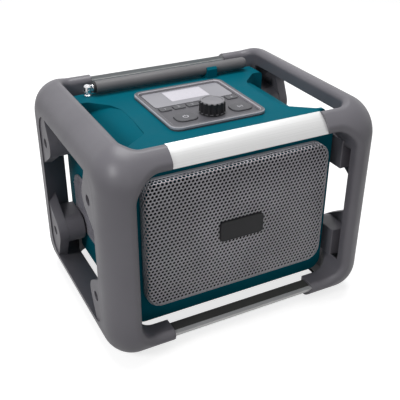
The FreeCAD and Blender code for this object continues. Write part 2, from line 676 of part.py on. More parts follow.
def rear_housing():
    """Rear cover with the battery bay, the port recess and the aerial's cradle."""
    body = new_body("rear_body")
    slab(body, "YZ", "-body_half", "body_half", rear_profile())
    split = value("body_split")
    half = value("body_half")
    round_edges(body, "6", lambda edge: along_axis(edge, "x") and middle(edge).y > split + 1)
    round_edges(body, "5", lambda edge: (flat_at(edge, "x", half) or flat_at(edge, "x", -half))
                and not flat_at(edge, "y", split))
    housing_rooms(body, "body_split - 1", "room_back")
    pockets = [rounded("-room_half + 2", "-door_half - 3.5", "54", "204", "5"),
               rounded("door_half + 3.5", "room_half - 2", "54", "flap_base - 6", "5"),
               rounded("door_half + 3.5", "room_half - 2", "flap_top + 6", "204", "5")]
    slab(body, "XZ", "room_back - 1", "bulge_back - 5", *pockets, cut=True)
    bay = rounded("-door_half + 7", "door_half - 7", "door_base + 7", "door_top - 9", "5")
    slab(body, "XZ", "bulge_back + 1", "room_back + 5", bay, cut=True)
    doorway = rounded("-door_half - door_play", "door_half + door_play", "door_base - 4.5",
                      "door_top + door_play", "4")
    slab(body, "XZ", "bulge_back + 1", "130.5", doorway, cut=True)
    hinge_room = box_loop("-door_half - door_play", "door_half + door_play", "door_base - 4.5",
                          "door_base + 4.5")
    slab(body, "XZ", "bulge_back + 1", "127.5", hinge_room, cut=True)
    slab(body, "YZ", "-door_half - door_pin_hold", "door_half + door_pin_hold",
         circle("door_hinge", "door_base", "door_pin_round"), cut=True)
    flap_seat = rounded("flap_left", "flap_right", "flap_base", "flap_top", "1")
    slab(body, "XZ", "bulge_back + 1", "131.5", flap_seat, cut=True)
    port_room = rounded("flap_left + 4", "flap_right - 4", "flap_base + 5", "flap_top - 4", "2")
    slab(body, "XZ", "bulge_back + 1", "112", port_room, cut=True)
    frame_seats(body, 1)
    cradle = new_body("cradle_block")
    slab(cradle, "YZ", "55", "70", box_loop("79.5", "102.5", "body_top - 2", "body_top + 15"))
    bevel_edges(cradle, "3", lambda edge: along_axis(edge, "x") and middle(edge).z > value("body_top") + 5)
    groove = rod("cradle_groove", "aerial_round + cradle_play", "20", "52", "aerial_along", "aerial_height",
                 (1, 0, 0))
    mouth = block("cradle_mouth", "20", "2 * aerial_round - 0.6", "20", "52",
                  "aerial_along - aerial_round + 0.3", "aerial_height")
    housing = DOC.addObject("Part::Cut", "rear_housing")
    housing.Base = fused("rear_whole", [body, cradle])
    housing.Tool = fused("cradle_tool", [groove, mouth])
    keep("rear_housing", housing)


def front_bezel():
    body = new_body("front_bezel")
    face = -value("bezel_front")
    outline = rounded("-bezel_half", "bezel_half", "body_base", "body_top", "bezel_round")
    slab(body, "XZ", "-bezel_back", "-bezel_front", outline)
    round_edges(body, "5", lambda edge: flat_at(edge, "y", face))
    inside = rounded("-boss_face", "boss_face", "body_base + wall", "body_top - wall", "bezel_round - wall")
    slab(body, "XZ", "-bezel_back + 1", "-%s" % HIDDEN_BACK, inside, cut=True)
    mouths = [circle(signed("speaker_gap", side), "speaker_height", "speaker_round - 7") for side in (-1, 1)]
    slab(body, "XZ", "-bezel_back", "-bezel_front - 1", *mouths, cut=True)
    holes = [circle(signed("post_across", side), height, "1.8")
             for side in (-1, 1) for height in ("post_low", "post_high")]
    slab(body, "XZ", "-bezel_back", "-bezel_front - 1", *holes, cut=True)
    for side in (-1, 1):
        slab(body, "YZ", signed("bezel_half + 1", side), signed("boss_face - 1", side),
             *lug_circles("boss_round + seat_play"), cut=True)
    keep("front_bezel", body)


def bezel_screws():
    screws = []
    for side in (-1, 1):
        for height in ("post_low", "post_high"):
            across = signed("post_across", side)
            head = rod("bezel_head", "3.2", "1.6", across, "-bezel_front", height, (0, -1, 0))
            shaft = rod("bezel_shaft", "1.5", "18", across, "-bezel_front", height, (0, 1, 0))
            screws.append(fused("bezel_screw", [head, shaft]))
    grouped("bezel_screws", screws)


# Speakers and grilles

def speaker_grille():
    body = new_body("speaker_grille")
    face = -value("grille_front")
    outline = rounded("-grille_half", "grille_half", "grille_base", "grille_top", "grille_round")
    slab(body, "XZ", "-bezel_front", "-grille_front", outline)
    round_edges(body, "5", lambda edge: flat_at(edge, "y", face))
    inside = rounded("-grille_half + grille_sheet", "grille_half - grille_sheet",
                     "grille_base + grille_sheet", "grille_top - grille_sheet", "grille_round - grille_sheet")
    slab(body, "XZ", "-bezel_front + 1", "-grille_front + grille_sheet", inside, cut=True)
    keep("speaker_grille", body)
    cloth = new_body("grille_cloth")
    back = "-grille_front + grille_sheet"
    outline = rounded("-grille_half + 4", "grille_half - 4", "grille_base + 4", "grille_top - 4",
                      "grille_round - 4")
    slab(cloth, "XZ", back, back + " + 0.6", outline)
    keep("grille_cloth", cloth)
    badge = new_body("badge_plate")
    outline = rounded("-badge_half", "badge_half", "speaker_height - badge_high",
                      "speaker_height + badge_high", "5")
    slab(badge, "XZ", "-grille_front", "-grille_front - 3.5", outline)
    badge_face = value("-grille_front - 3.5")
    round_edges(badge, "1.2", lambda edge: flat_at(edge, "y", badge_face))
    keep("badge_plate", badge)


def turned(name, points, across):
    """A round speaker piece; points are radius and depth behind the bezel's inner face."""
    body = new_body(name)
    spin(body, "XZ", points)
    body.Placement = Placement(Vector(), Rotation(Vector(1, 0, 0), -90))
    place(body, across, "-%s" % HIDDEN_BACK, "speaker_height")
    return body


def speakers():
    """Two cone speakers screwed to the back of the bezel."""
    basket = [("speaker_round - 7", "0"), ("speaker_round", "0"), ("speaker_round", "3"),
              ("speaker_round - 5", "3"), ("38", "33"), ("34", "36"), ("12", "36"), ("12", "34"),
              ("33", "34"), ("36.5", "31"), ("speaker_round - 7", "3")]
    surround = [("speaker_round - 13", "0.4"), ("speaker_round - 7", "0.4"), ("speaker_round - 7", "2.4"),
                ("speaker_round - 13", "2.4")]
    cone = [("speaker_round - 13", "0.6"), ("speaker_round - 13", "2"), ("16", "23.4"), ("16", "22")]
    cap = [("0", "18"), ("16", "22"), ("16", "23.4"), ("0", "19.4")]
    magnet = [("0", "36"), ("32", "36"), ("32", "50"), ("0", "50")]
    for name, points in (("speaker_baskets", basket), ("speaker_surrounds", surround),
                         ("speaker_cones", cone), ("dust_caps", cap), ("speaker_magnets", magnet)):
        grouped(name, [turned(name[:-1], points, signed("speaker_gap", side)) for side in (-1, 1)])


def side_grilles():
    """Perforated plates let into the flanks, with cloth behind them."""
    for side, name in ((-1, "left"), (1, "right")):
        plate = new_body("side_grille_" + name)
        outline = rounded("recess_front + plate_play", "recess_rear - plate_play", "recess_base + plate_play",
                          "recess_top - plate_play", "8 - plate_play")
        slab(plate, "YZ", signed("body_half - plate_thick", side), signed("body_half", side), outline)
        keep("side_grille_" + name, plate)
        cloth = new_body("side_cloth_" + name)
        slab(cloth, "YZ", signed("room_half + 0.7", side), signed("body_half - plate_thick", side),
             sound_slot("(-plate_play)"))
        keep("side_cloth_" + name, cloth)


# Control panel

BUTTON_PLACES = ["0.5 + button_pitch * %.1f" % (number - 2.5) for number in range(6)]
KEYS = (("left", "-34", "-33"), ("right", "41", "-34"))


def button_outline(across, grow="0"):
    return rounded("%s - 7.5 - %s" % (across, grow), "%s + 7.5 + %s" % (across, grow),
                   "-5.5 - %s" % grow, "5.5 + %s" % grow, "2")


def key_outline(across, along, grow="0"):
    return rounded("%s - 14 - %s" % (across, grow), "%s + 14 + %s" % (across, grow),
                   "%s - 11.5 - %s" % (along, grow), "%s + 11.5 + %s" % (along, grow), "9")


def panel_frame():
    """The panel's plate with its holes and posts, and the raised rim laid on its edge."""
    body = new_body("control_panel")
    outline = rounded("-panel_half", "panel_half", "panel_mid - panel_half", "panel_mid + panel_half", "12")
    slab(body, "XY", "body_top", "panel_floor", outline)
    skirt = rounded("-panel_skirt", "panel_skirt", "panel_mid - panel_skirt", "panel_mid + panel_skirt",
                    "8.6")
    slab(body, "XY", "body_top + 1", "body_top - 7", skirt)
    under = rounded("-panel_skirt + 2.6", "panel_skirt - 2.6", "panel_mid - panel_skirt + 2.6",
                    "panel_mid + panel_skirt - 2.6", "6")
    slab(body, "XY", "body_top - 8", "panel_floor - 2.5", under, cut=True)
    slab(body, "XY", "panel_floor + 1", "panel_floor - 1", rounded("-55.5", "55.5", "8", "56.5", "5"),
         cut=True)
    slab(body, "XY", "panel_floor", "panel_floor - 4", rounded("-27", "27", "20", "53", "1"), cut=True)
    holes = [button_outline(across, "button_play") for across in BUTTON_PLACES]
    holes += [key_outline(across, along, "button_play") for name, across, along in KEYS]
    holes.append(circle("knob_across", "knob_along", "4.8"))
    slab(body, "XY", "panel_floor + 1", "panel_floor - 4", *holes, cut=True)
    posts = [circle(across, along, "3") for across in ("-50.5", "50.5")
             for along in ("panel_mid - 50.5", "panel_mid + 50.5")]
    slab(body, "XY", "panel_floor - 2", "board_top", *posts)
    keep("control_panel", body)
    rim = new_body("rim_ring")
    inside = rounded("-panel_half + rim_width", "panel_half - rim_width",
                     "panel_mid - panel_half + rim_width", "panel_mid + panel_half - rim_width",
                     "12 - rim_width")
    slab(rim, "XY", "panel_floor", "panel_top", outline, inside)
    top = value("panel_top")
    bevel_edges(rim, "0.9", lambda edge: flat_at(edge, "z", top))
    keep("panel_rim", rim)


def display():
    window = new_body("display_window")
    slab(window, "XY", "panel_floor - 1", "panel_floor + 0.6", rounded("-55.3", "55.3", "8.2", "56.3", "4.8"))
    slab(window, "XY", "panel_floor + 1", "panel_floor - 2", rounded("-27", "27", "20", "53", "1"), cut=True)
    keep("display_window", window)
    glass = new_body("lcd_glass")
    slab(glass, "XY", "panel_floor - 4", "panel_floor + 0.5", rounded("-27", "27", "20", "53", "1"))
    keep("lcd_glass", glass)


def keys_and_buttons():
    """Moving caps: a face above the panel, a flange below it and a stem down to the switch."""
    for number, across in enumerate(BUTTON_PLACES, start=1):
        cap_piece("button_%d" % number, button_outline(across), button_outline(across, "0.9"), across, "0",
                  "panel_floor + 1.3")
    for name, across, along in KEYS:
        cap_piece("key_" + name, key_outline(across, along), key_outline(across, along, "0.9"), across, along,
                  "panel_floor + 1.7")


def cap_piece(name, outline, flange, across, along, top):
    body = new_body(name)
    slab(body, "XY", "panel_floor - 3.5", top, outline)
    face = value(top)
    bevel_edges(body, "0.6", lambda edge: flat_at(edge, "z", face))
    slab(body, "XY", "panel_floor - 2.8", "panel_floor - 4.7", flange)
    stem = rounded("%s - 2" % across, "%s + 2" % across, "%s - 2" % along, "%s + 2" % along, "0.5")
    slab(body, "XY", "panel_floor - 4", "board_top + 5.4", stem)
    keep(name, body)


def boards():
    board = new_body("main_board")
    slab(board, "XY", "board_top", "board_top - 1.6",
         rounded("-54", "54", "panel_mid - 54", "panel_mid + 54", "3"))
    keep("main_board", board)
    switches = []
    places = [(across, "0") for across in BUTTON_PLACES] + [(across, along) for name, across, along in KEYS]
    for across, along in places:
        base = block("switch_base", "6", "6", "3.4", across + " - 3", along + " - 3", "board_top")
        plunger = block("switch_plunger", "3", "3", "4", across + " - 1.5", along + " - 1.5", "board_top")
        switches.append(fused("switch", [base, plunger]))
    grouped("tact_switches", switches)
    amplifier = new_body("amplifier_board")
    slab(amplifier, "XZ", "86", "87.6", rounded("-50", "50", "70", "150", "2"))
    keep("amplifier_board", amplifier)
    spacers = [rod("spacer", "2.5", "4.4", across, "87.6", height, (0, 1, 0))
               for across in ("-45", "45") for height in ("75", "145")]
    grouped("board_spacers", spacers)


def tuner():
    """Turning and pressing knob: encoder case, rotor in it, spindle through both, fluted knob on top."""
    case = new_body("encoder_case")
    slab(case, "XY", "board_top", "board_top + 6.4", rounded("-7", "7", "-7", "7", "1"))
    slab(case, "XY", "board_top + 6", "panel_floor - 0.2", circle("0", "0", "4.5"))
    slab(case, "XY", "board_top + 0.8", "board_top + 5", circle("0", "0", "5.6"), cut=True)
    slab(case, "XY", "board_top + 4", "panel_floor + 1", circle("0", "0", "3.35"), cut=True)
    place(case, "knob_across", "knob_along")
    keep("encoder_case", case)
    rotor = new_body("encoder_rotor")
    slab(rotor, "XY", "board_top + 1.2", "board_top + 4.6", circle("0", "0", "5.2"))
    slab(rotor, "XY", "board_top + 1", "board_top + 5", box_loop("-2.1", "2.1", "-2.1", "2.1"), cut=True)
    place(rotor, "knob_across", "knob_along")
    keep("encoder_rotor", rotor)
    spindle = new_body("encoder_spindle")
    slab(spindle, "XY", "board_top + 1.7", "board_top + 7", box_loop("-1.8", "1.8", "-1.8", "1.8"))
    slab(spindle, "XY", "board_top + 5.8", "panel_floor + 12", circle("0", "0", "3"))
    place(spindle, "knob_across", "knob_along")
    keep("encoder_spindle", spindle)
    knob = new_body("tuning_knob")
    base = "panel_floor + 1.2"
    profile = [("3", "panel_floor + 3"), ("5", "panel_floor + 3"), ("5", "panel_floor + 12"),
               ("12.5", "panel_floor + 12"), ("13", base), ("knob_round", base),
               ("knob_round - 0.6", "panel_floor + 14.8"), ("knob_round - 2", "panel_floor + 16"),
               ("knob_round - 3.6", "panel_floor + 16"), ("knob_round - 4.4", "panel_floor + 15.4"),
               ("0", "panel_floor + 14.8"), ("0", "panel_floor + 12"), ("3", "panel_floor + 12")]
    spin(knob, "XZ", profile)
    flute = draw(knob, "XY", "panel_floor + 17", [circle("knob_round + 0.8", "0", "flute_round")])
    cut = knob.newObject("PartDesign::Pocket", "flute")
    cut.Profile = flute
    cut.setExpression("Length", rule("15"))
    DOC.recompute()
    ring = knob.newObject("PartDesign::PolarPattern", "flutes")
    ring.Originals = [cut]
    ring.Axis = (flute, ["N_Axis"])
    ring.Angle = 360
    ring.Occurrences = 15
    knob.Tip = ring
    place(knob, "knob_across", "knob_along")
    keep("tuning_knob", knob)


# Aerial

def aerial():
    """Folding aerial: a forked turret, a knuckle on a cross pin, a dark collar and the rod."""
    turret = new_body("aerial_turret")
    profile = [("0", "body_top"), ("turret_round", "body_top"), ("turret_round", "body_top + 2"),
               ("turret_round - 1.4", "body_top + 3.2"), ("turret_round - 1.4", "body_top + 4.4"),
               ("turret_round", "body_top + 5.8"), ("turret_round", "aerial_height + 2.4"),
               ("turret_round - 1.6", "aerial_height + 4.4"), ("0", "aerial_height + 4.4")]
    spin(turret, "XZ", profile)
    slab(turret, "XZ", "-tongue_half - fork_play", "tongue_half + fork_play",
         box_loop("-6", "6", "aerial_height - 5", "aerial_height + 6"), cut=True)
    slab(turret, "XZ", "-7", "7", circle("0", "aerial_height", "aerial_pin_round"), cut=True)
    place(turret, "aerial_across", "aerial_along")
    keep("aerial_turret", turret)
    pin = rod("aerial_pin", "aerial_pin_round", "8.4", "aerial_across", "aerial_along - 4.2", "aerial_height",
              (0, 1, 0))
    keep("aerial_pin", pin)
    knuckle = new_body("aerial_knuckle")
    slab(knuckle, "XZ", "-tongue_half", "tongue_half", circle("0", "aerial_height", "4.4"))
    slab(knuckle, "XZ", "-tongue_half", "tongue_half",
         box_loop("0", "7", "aerial_height - 3.6", "aerial_height + 3.6"))
    slab(knuckle, "YZ", "6", "7.4", circle("0", "aerial_height", "5"))
    slab(knuckle, "XZ", "-3", "3", circle("0", "aerial_height", "aerial_pin_round + hinge_play"), cut=True)
    place(knuckle, "aerial_across", "aerial_along")
    keep("aerial_knuckle", knuckle)
    collar = new_body("aerial_collar")
    slab(collar, "YZ", "aerial_across + 7.4", "aerial_across + aerial_start",
         circle("aerial_along", "aerial_height", "aerial_round - 0.8"))
    keep("aerial_collar", collar)
    sleeve = new_body("aerial_rod")
    tip = value("aerial_end")
    slab(sleeve, "YZ", "aerial_across + aerial_start", "aerial_end",
         circle("aerial_along", "aerial_height", "aerial_round"))
    round_edges(sleeve, "6", lambda edge: flat_at(edge, "x", tip))
    keep("aerial_rod", sleeve)


# Battery bay and ports

def battery_door():
    door = new_body("battery_door")
    slab(door, "XZ", "131", "bulge_back", rounded("-door_half", "door_half", "door_base", "door_top", "3"))
    slab(door, "YZ", "-door_half", "door_half", circle("door_hinge", "door_base", "3.2"))
    slab(door, "YZ", "-door_half - 1", "door_half + 1",
         circle("door_hinge", "door_base", "door_pin_round + hinge_play"), cut=True)
    grips = [rounded("-40", "40", "door_top - %d" % (30 + 8 * step), "door_top - %d" % (26 + 8 * step), "1.9")
             for step in range(3)]
    slab(door, "XZ", "bulge_back + 1", "bulge_back - 1.2", *grips, cut=True)
    slab(door, "XZ", "bulge_back + 1", "133", rounded("-14", "14", "door_top - 14", "door_top - 3", "5"),
         cut=True)
    keep("battery_door", door)
    pin = rod("door_pin", "door_pin_round", "2 * (door_half + door_pin_hold)", "-door_half - door_pin_hold",
              "door_hinge", "door_base", (1, 0, 0))
    keep("door_pin", pin)
    contacts = []
    for across in ("-30", "30"):
        plate = block("contact_plate", "16", "0.8", "12", across + " - 8", "97", "80")
        spring = rod("contact_spring", "4", "5", across, "97", "86", (0, 1, 0))
        contacts.append(fused("contact", [plate, spring]))
    grouped("battery_contacts", contacts)


def ports():
    carrier = new_body("port_carrier")
    slab(carrier, "XZ", "112", "128", rounded("flap_left + 4", "flap_right - 4", "flap_base + 5",
                                             "flap_top - 4", "2"))
    slab(carrier, "XZ", "129", "116", circle("98", "112", "4"), circle("113", "112", "2"), cut=True)
    keep("port_carrier", carrier)
    inlet = rod("power_inlet_pin", "1", "9", "98", "116", "112", (0, 1, 0))
    keep("power_inlet_pin", inlet)
    flap = new_body("port_flap")
    slab(flap, "XZ", "131.9", "bulge_back", rounded("flap_left + door_play", "flap_right - door_play",
                                                   "flap_base + 2.2", "flap_top - door_play", "2"))
    slab(flap, "YZ", "flap_left + door_play", "flap_right - door_play",
         circle("bulge_back - 1.5", "flap_base + 2.2", "1.5"))
    keep("port_flap", flap)


def write_parts():
    DOC.recompute()
    for item in DOC.Objects:
        if "Invalid" in item.State or "Error" in item.State:
            raise RuntimeError("%s did not build: %s" % (item.Name, item.State))
    os.makedirs("parts", exist_ok=True)
    for name, item in NODES.items():
        shape = item.Shape
        if shape.isNull() or not shape.isValid():
            raise RuntimeError("%s has no good shape" % name)
        shape.exportStep("parts/%s.step" % name)
        print(name, len(shape.Solids), round(shape.Volume))


side_frame("side_frame_left", -1)
side_frame("side_frame_right", 1)
rubber_feet()
cross_bars()
frame_screws()
front_bezel()
bezel_screws()
main_housing()
rear_housing()
speaker_grille()
speakers()
side_grilles()
panel_frame()
display()
keys_and_buttons()
boards()
tuner()
aerial()
battery_door()
ports()
write_parts()
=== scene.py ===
import json
from math import cos, hypot, pi, radians, sin, sqrt

import bmesh
import bpy
from mathutils import Matrix, Vector


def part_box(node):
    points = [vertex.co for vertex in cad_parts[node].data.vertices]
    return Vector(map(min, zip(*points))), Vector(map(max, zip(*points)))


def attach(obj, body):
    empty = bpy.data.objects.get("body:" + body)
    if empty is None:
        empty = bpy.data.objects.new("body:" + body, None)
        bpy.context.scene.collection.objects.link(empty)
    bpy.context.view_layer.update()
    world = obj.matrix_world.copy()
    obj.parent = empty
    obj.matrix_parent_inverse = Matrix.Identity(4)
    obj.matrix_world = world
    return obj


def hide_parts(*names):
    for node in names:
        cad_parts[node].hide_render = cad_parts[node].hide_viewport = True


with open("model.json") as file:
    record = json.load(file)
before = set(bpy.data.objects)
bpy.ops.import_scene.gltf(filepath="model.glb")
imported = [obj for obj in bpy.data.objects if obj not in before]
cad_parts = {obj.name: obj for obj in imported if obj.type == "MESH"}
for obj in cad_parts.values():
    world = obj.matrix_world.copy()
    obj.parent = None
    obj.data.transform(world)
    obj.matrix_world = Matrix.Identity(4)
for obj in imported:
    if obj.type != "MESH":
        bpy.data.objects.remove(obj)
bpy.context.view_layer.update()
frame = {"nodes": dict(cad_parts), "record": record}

NODES = frame["nodes"]

# The photograph's camera, in metres and degrees.
CAMERA_PLACE = Vector((-0.3665, -0.7136, 0.5816))
CAMERA_YAW = 27.38
CAMERA_PITCH = 29.97
CAMERA_ROLL = -0.32
CAMERA_LENS = 61.25
SENSOR = 36.0
CLIP_NEAR = 0.01
CLIP_FAR = 50.0

# Sizes shared with the CAD model, in metres.
GRILLE_HALF = 0.125
GRILLE_LOW = 0.056
GRILLE_HIGH = 0.227
GRILLE_FACE = -0.115
GRILLE_SEAT = -0.100
GRILLE_CORNER = 0.020
GRILLE_EDGE = 0.005
HOLE_PITCH = 0.005
HOLE_RADIUS = 0.00198
HOLE_SIDES = 12
SHEET_THICK = 0.0012
CAGE_MIDDLE = 0.141
LUG_DEPTH = 0.082
LUG_HEIGHT = 0.066
LUG_ROUND = 0.0197
LUG_REACH = 0.116
LUG_BACK = 0.1662
LUG_INNER = 0.1415
FLANK = 0.138

# Sizes of what only this file adds, in metres.
CELL_WELD = 0.02 * HOLE_PITCH
WELD = 0.00002
SLIVER = 0.00001
PLAIN_EDGE = 0.0035
SIDE_HALF_Y = 0.084
SIDE_HALF_Z = 0.042
SIDE_MIDDLE_Y = 0.022
SIDE_MIDDLE_Z = 0.110
SIDE_CORNER = 0.030
SIDE_MARGIN = 0.004
SIDE_LIFT = 0.0003
BOSS_REACH = 0.0135
BACKING_INSET = 0.002
LUG_SOFT = 0.001
LUG_STEPS = 16
CORNER_STEPS = 8
TRIM_THICK = 0.0008
TRIM_HIGH = 0.2681
MARK_HEIGHT = 0.0001
DIGIT_SIZE = 0.0021
POWER_SIZE = 0.0036
PLAY_SIZE = 0.0032

# Shares of a mark's size, and the power sign's ring in degrees.
MARK_STROKE = 0.34
RING_ROUND = 0.9
RING_START = 125
RING_SWEEP = 290
RING_STEPS = 14

# Noise gathers round a half; each range is the part of it that a look is spread over.
NARROW = (0.35, 0.65)
WIDE = (0.3, 0.7)

# Scales of the noise on moulded plastic, and how the painted highlight along its edges pales them.
DRIFT_SCALE = 9.0
HIGHLIGHT_NOISE_SCALE = 60.0
SHINE_SCALE = 35.0
GRAIN_STRENGTH = 0.35
HIGHLIGHT_LEAST = 0.4
HIGHLIGHT_GAIN = 1.9
HIGHLIGHT_LIFT = 0.04

# Scales of the noise on the other looks.
BRUSH_ACROSS = 900.0
BRUSH_ALONG = 6.0
BRUSH_DRIFT = 14.0
PEEL_SCALE = 700.0
COAT_DRIFT = 20.0
CHROME_HAZE = 50.0
DISPLAY_HAZE = 30.0
FLOOR_CLOUD = 1.5

# Relief of a finish: its depth in metres and its strength.
BRUSH_RELIEF = (0.00004, 0.25)
PEEL_RELIEF = (0.00005, 0.3)
HAZE_RELIEF = (0.00003, 0.15)
THREAD_RELIEF = (0.0001, 0.5)

# How far, in metres, and how finely a look rounds sharp edges.
METAL_SOFT = 0.0003
CHROME_SOFT = 0.0004
BEVEL_SAMPLES = 6
EDGE_FULL = 0.75
EDGE_NONE = 0.985

# Threads of the cloth, and cells of the display in metres.
THREAD_SCALE = 420.0
CELL_WIDE = 0.0022
CELL_HIGH = 0.0028
CELL_GAP = 0.00012

# Lamps: place, the point each faces, width and height in metres, and power in watts.
LAMPS = {
    "key": ((-1.3, -0.6, 1.2), (0, 0, 0.14), (0.4, 0.4), 9.0),
    "front": ((-0.2, -1.6, 0.9), (0, 0, 0.12), (1.0, 0.8), 1.5),
    "top": ((0.1, 0.2, 1.7), (0, 0, 0.2), (1.1, 0.9), 20.0),
}
WORLD_LIGHT = 0.22
FLOOR_HALF = 6.0
FLOOR_CELLS = 8
FLOOR_DROP = 0.0002
FLOOR_DARK = 0.54
FLOOR_LIGHT = 0.56
FLOOR_MIRRORED = 0.3
FLOOR_STRAIGHT = 0.45


def grey(level):
    return (level, level, level, 1.0)


def srgb(red, green, blue):
    """A colour given as it looks on screen, 0 to 255, turned into light amounts."""
    out = []
    for part in (red, green, blue):
        part = part / 255
        out.append(part / 12.92 if part <= 0.04045 else ((part + 0.055) / 1.055) ** 2.4)
    return (*out, 1.0)


def dimmed(colour, share):
    """A colour with its light amounts cut to a share."""
    return tuple(part * share for part in colour[:3]) + (1.0,)


# Materials

class Shader:
    """A material whose nodes are added one by one."""

    def __init__(self, name):
        self.material = bpy.data.materials.new(name)
        self.material.use_nodes = True
        self.tree = self.material.node_tree
        self.tree.nodes.clear()
        self.output = self.add("ShaderNodeOutputMaterial")
        self.surface = self.add("ShaderNodeBsdfPrincipled")
        self.join(self.surface.outputs["BSDF"], self.output.inputs["Surface"])
        self.place = self.add("ShaderNodeTexCoord").outputs["Object"]

    def add(self, kind, **settings):
        node = self.tree.nodes.new(kind)
        for key, value in settings.items():
            setattr(node, key, value)
        return node

    def join(self, start, end):
        self.tree.links.new(start, end)

    def noise(self, scale, detail=3.0, roughness=0.5, stretch=None):
        """Noise between 0 and 1, optionally drawn out along the axes."""
        node = self.add("ShaderNodeTexNoise")
        node.inputs["Scale"].default_value = scale
        node.inputs["Detail"].default_value = detail
        node.inputs["Roughness"].default_value = roughness
        start = self.place
        if stretch:
            mapping = self.add("ShaderNodeMapping")
            mapping.inputs["Scale"].default_value = stretch
            self.join(start, mapping.inputs["Vector"])
            start = mapping.outputs["Vector"]
        self.join(start, node.inputs["Vector"])
        return node.outputs["Fac"]

    def spread(self, source, low_in, high_in, low_out, high_out):
        node = self.add("ShaderNodeMapRange")
        node.inputs["From Min"].default_value = low_in
        node.inputs["From Max"].default_value = high_in
        node.inputs["To Min"].default_value = low_out
        node.inputs["To Max"].default_value = high_out
        self.join(source, node.inputs["Value"])
        return node.outputs["Result"]

    def blend(self, factor, first, second):
        node = self.add("ShaderNodeMix", data_type="RGBA")
        self.join(factor, node.inputs[0])
        for socket, value in ((node.inputs[6], first), (node.inputs[7], second)):
            if isinstance(value, tuple):
                socket.default_value = value
            else:
                self.join(value, socket)
        return node.outputs[2]

    def rounded(self, radius):
        """The surface's direction with sharp edges rounded over a radius."""
        bevel = self.add("ShaderNodeBevel", samples=BEVEL_SAMPLES)
        bevel.inputs["Radius"].default_value = radius
        return bevel.outputs["Normal"]

    def edges(self, radius):
        """Near 1 within a radius of an edge and 0 elsewhere."""
        likeness = self.add("ShaderNodeVectorMath", operation="DOT_PRODUCT")
        self.join(self.rounded(radius), likeness.inputs[0])
        self.join(self.add("ShaderNodeNewGeometry").outputs["Normal"], likeness.inputs[1])
        return self.spread(likeness.outputs["Value"], EDGE_FULL, EDGE_NONE, 1.0, 0.0)

    def facing_up(self, start=0.55, full=0.9):
        """1 on faces that look up in the piece's own frame, 0 on its flanks."""
        parts = self.add("ShaderNodeSeparateXYZ")
        self.join(self.add("ShaderNodeTexCoord").outputs["Normal"], parts.inputs[0])
        return self.spread(parts.outputs["Z"], start, full, 0.0, 1.0)

    def product(self, first, second):
        node = self.add("ShaderNodeMath", operation="MULTIPLY")
        self.join(first, node.inputs[0])
        self.join(second, node.inputs[1])
        return node.outputs[0]

    def relief(self, source, distance, strength, soft=0.0):
        """Raises the surface where the source is high; soft rounds sharp edges by a radius."""
        bump = self.add("ShaderNodeBump")
        bump.inputs["Distance"].default_value = distance
        bump.inputs["Strength"].default_value = strength
        self.join(source, bump.inputs["Height"])
        if soft:
            self.join(self.rounded(soft), bump.inputs["Normal"])
        self.join(bump.outputs["Normal"], self.surface.inputs["Normal"])

    def colour(self, source):
        self.join(source, self.surface.inputs["Base Color"])

    def rough(self, source):
        self.join(source, self.surface.inputs["Roughness"])

    def set(self, **values):
        for key, value in values.items():
            self.surface.inputs[key.replace("_", " ")].default_value = value


def moulded(name, base, light, rough_low, rough_high, grain=1400.0, depth=0.00012, soft=0.0008, edge_highlight=0.25,
            specular=0.3, rim=0.0008, crown=None, level=(0.55, 0.9)):
    """Moulded plastic with a fine spark-eroded grain, slow colour drift and a painted highlight that pales
    its edges; crown, if given, recolours the faces that look up.
    """
    shader = Shader(name)
    drift = shader.noise(DRIFT_SCALE)
    speck = shader.noise(grain, 2.0)
    body = shader.blend(shader.spread(drift, *NARROW, 0.0, 1.0), base, light)
    # crown recolours faces that look up: a painted highlight on the knob's top, the top's own grey on the
    # rim.
    if crown:
        body = shader.blend(shader.facing_up(*level), body, crown)
    # Painted highlight: faces near an edge, found with the bevel, are paled towards a lighter copy of the
    # colour, broken up by noise.
    highlight_noise = shader.noise(HIGHLIGHT_NOISE_SCALE, 4.0, 0.7)
    edge_highlight_mask = shader.product(shader.edges(rim), shader.spread(highlight_noise, *NARROW, HIGHLIGHT_LEAST * edge_highlight, edge_highlight))
    highlight_colour = tuple(min(1.0, part * HIGHLIGHT_GAIN + HIGHLIGHT_LIFT) for part in light[:3]) + (1.0,)
    shader.colour(shader.blend(edge_highlight_mask, body, highlight_colour))
    shader.rough(shader.spread(shader.noise(SHINE_SCALE, 4.0), *WIDE, rough_low, rough_high))
    shader.relief(speck, depth, GRAIN_STRENGTH, soft)
    shader.set(Specular_IOR_Level=specular)
    return shader.material


def brushed(name, colour, along, rough_low=0.28, rough_high=0.42, metal=1.0):
    """Metal with fine brush lines running along one axis."""
    shader = Shader(name)
    stretch = [BRUSH_ACROSS] * 3
    stretch[along] = BRUSH_ALONG
    line = shader.noise(1.0, 4.0, 0.6, stretch)
    drift = shader.noise(BRUSH_DRIFT)
    body = shader.blend(shader.spread(drift, *WIDE, 0.0, 1.0), colour, dimmed(colour, 0.93))
    shader.colour(shader.blend(shader.spread(line, *NARROW, 0.0, 0.8), body, dimmed(colour, 0.86)))
    shader.rough(shader.spread(line, *WIDE, rough_low, rough_high))
    shader.relief(line, *BRUSH_RELIEF, METAL_SOFT)
    shader.set(Metallic=metal)
    return shader.material


def coated(name, colour, rough, metal):
    """Powder-coated or plated sheet with a faint orange-peel surface."""
    shader = Shader(name)
    peel = shader.noise(PEEL_SCALE, 2.0)
    drift = shader.noise(COAT_DRIFT)
    shader.colour(shader.blend(shader.spread(drift, *WIDE, 0.0, 1.0), colour, dimmed(colour, 0.8)))
    shader.rough(shader.spread(peel, *WIDE, rough - 0.06, rough + 0.06))
    shader.relief(peel, *PEEL_RELIEF, METAL_SOFT)
    shader.set(Metallic=metal)
    return shader.material


